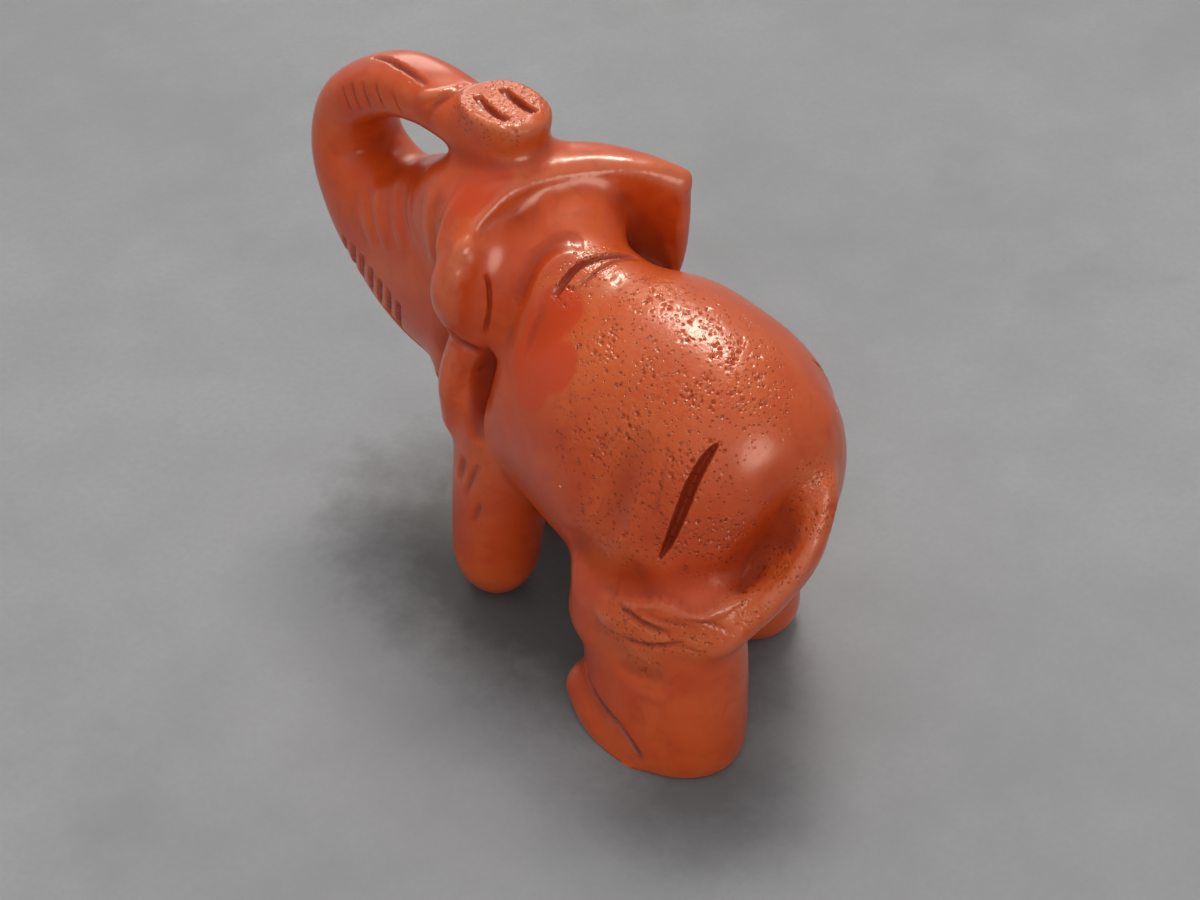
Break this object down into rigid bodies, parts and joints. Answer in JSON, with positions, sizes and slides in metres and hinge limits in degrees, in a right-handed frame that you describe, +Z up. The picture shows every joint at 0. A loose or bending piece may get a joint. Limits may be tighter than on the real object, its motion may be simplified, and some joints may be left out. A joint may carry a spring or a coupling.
{
  "type": "carved elephant figurine",
  "caption": "Small polished red agate elephant with its trunk raised and curled back onto its head.",
  "frame": {"origin": "middle of the bounding box's bottom, in the plane of the soles", "axes": "+X is the elephant's left, -Y the way it faces, +Y towards the tail, +Z up"},
  "size_m": [0.0224, 0.052, 0.0402],
  "materials": {
    "agate": "polished stone, matt where pitted"
  },
  "bodies": {
    "root": {"elephant": "agate"}
  },
  "joints": []
}
